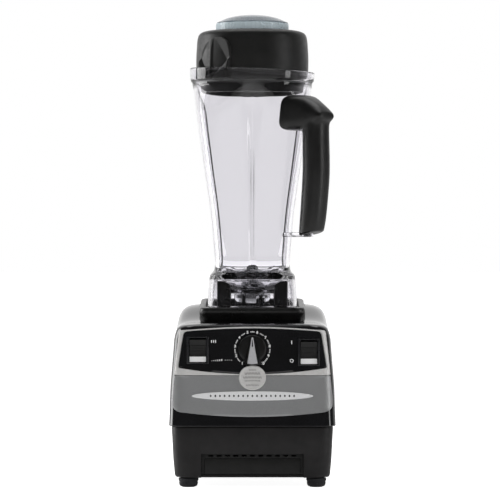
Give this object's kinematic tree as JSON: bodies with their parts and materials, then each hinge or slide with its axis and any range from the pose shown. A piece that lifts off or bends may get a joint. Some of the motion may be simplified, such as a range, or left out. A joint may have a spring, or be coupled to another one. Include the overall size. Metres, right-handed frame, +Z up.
{
  "type": "countertop blender",
  "caption": "Tall countertop blender: a tapered clear jar with lid, plug and corner handle on a black motor base with a round speed dial and rocker switches.",
  "frame": {"origin": "middle of the base, on the surface that its feet stand on", "axes": "+Z up along the motor's axis, -Y towards the controls, +X to the right of someone facing the controls"},
  "size_m": [0.1808, 0.2219, 0.5192],
  "materials": {
    "matte_black": "fine matte grain",
    "gloss_black": "high gloss",
    "face_grey": "satin metallic",
    "silver": "satin",
    "rubber_black": "satin",
    "foot_rubber": "matte",
    "soft_black": "satin",
    "clear": "clear, polished",
    "steel": "satin",
    "chrome": "polished",
    "laminate": "lacquered laminations",
    "copper": "turned",
    "nylon": "matte",
    "carbon": "matte",
    "board": "satin"
  },
  "bodies": {
    "base": {"lower_housing": "matte_black", "bottom_plate": "matte_black", "intake_grille": "matte_black", "upper_housing": "gloss_black", "silver_border": "silver", "control_plate": "gloss_black", "face_plate": "face_grey", "centering_pad": "rubber_black", "foot_front_left": "foot_rubber", "foot_front_right": "foot_rubber", "foot_rear_left": "foot_rubber", "foot_rear_right": "foot_rubber", "housing_screw_front_left": "steel", "housing_screw_front_right": "steel", "housing_screw_rear_left": "steel", "housing_screw_rear_right": "steel", "cord_gland": "rubber_black", "speed_range_bezel": "soft_black", "speed_range_switch_body": "nylon", "power_bezel": "soft_black", "power_switch_body": "nylon", "medallion": "silver", "oval_plate": "silver", "dial_potentiometer": "nylon", "motor_stator": "laminate", "upper_bracket": "steel", "lower_bracket": "steel", "upper_bearing": "steel", "lower_bearing": "steel", "carbon_brush_left": "carbon", "carbon_brush_right": "carbon", "control_board": "board"},
    "motor_rotor": {"drive_socket": "steel", "motor_shaft": "steel", "rotor_core": "laminate", "commutator": "copper", "cooling_fan": "nylon"},
    "speed_range_switch": {"speed_range_rocker": "soft_black"},
    "power_switch": {"power_rocker": "soft_black"},
    "speed_dial": {"speed_knob": "soft_black", "knob_pointer": "silver", "dial_shaft": "steel"},
    "jar_unit": {"jar": "clear", "handle": "soft_black", "handle_screw_upper": "steel", "handle_screw_lower": "steel", "bearing_sleeve": "steel", "blade_bearing_upper": "steel", "blade_bearing_lower": "steel", "shaft_seal": "rubber_black", "retainer_nut": "chrome"},
    "blade_unit": {"blade": "steel", "blade_shaft": "steel", "blade_nut": "steel"},
    "lid_unit": {"lid": "rubber_black"},
    "plug_carrier": {"plug_seal": "rubber_black"},
    "plug_unit": {"lid_plug": "clear"}
  },
  "joints": [
    {"name": "motor_spin", "type": "hinge", "parent": "base", "child": "motor_rotor", "pos_m": [0, 0, 0.1], "axis": [0, 0, 1], "continuous": true},
    {"name": "speed_range_toggle", "type": "hinge", "parent": "base", "child": "speed_range_switch", "pos_m": [-0.0591, -0.09505, 0.14805], "axis": [-1, 0, 0], "range_deg": [0, 16]},
    {"name": "power_toggle", "type": "hinge", "parent": "base", "child": "power_switch", "pos_m": [0.0611, -0.09533, 0.14576], "axis": [-1, 0, 0], "range_deg": [0, 16]},
    {"name": "speed_turn", "type": "hinge", "parent": "base", "child": "speed_dial", "pos_m": [0, -0.09787, 0.1497], "axis": [0, -0.9926, 0.1211], "range_deg": [-144.5, 144.5]},
    {"name": "jar_lift", "type": "slide", "parent": "base", "child": "jar_unit", "axis": [0, 0, 1], "range_m": [0, 0.1]},
    {"name": "blade_spin", "type": "hinge", "parent": "jar_unit", "child": "blade_unit", "pos_m": [0, 0, 0.229], "axis": [0, 0, 1], "continuous": true},
    {"name": "lid_lift", "type": "slide", "parent": "jar_unit", "child": "lid_unit", "axis": [0, 0, 1], "range_m": [0, 0.09]},
    {"name": "plug_lift", "type": "slide", "parent": "lid_unit", "child": "plug_carrier", "axis": [0, 0, 1], "range_m": [0, 0.06]},
    {"name": "plug_twist", "type": "hinge", "parent": "plug_carrier", "child": "plug_unit", "pos_m": [0, 0, 0.47], "axis": [0, 0, 1], "range_deg": [0, 45]}
  ],
  "couplings": [
    {"joint": "blade_spin", "follows": "motor_spin", "ratio": 1}
  ]
}
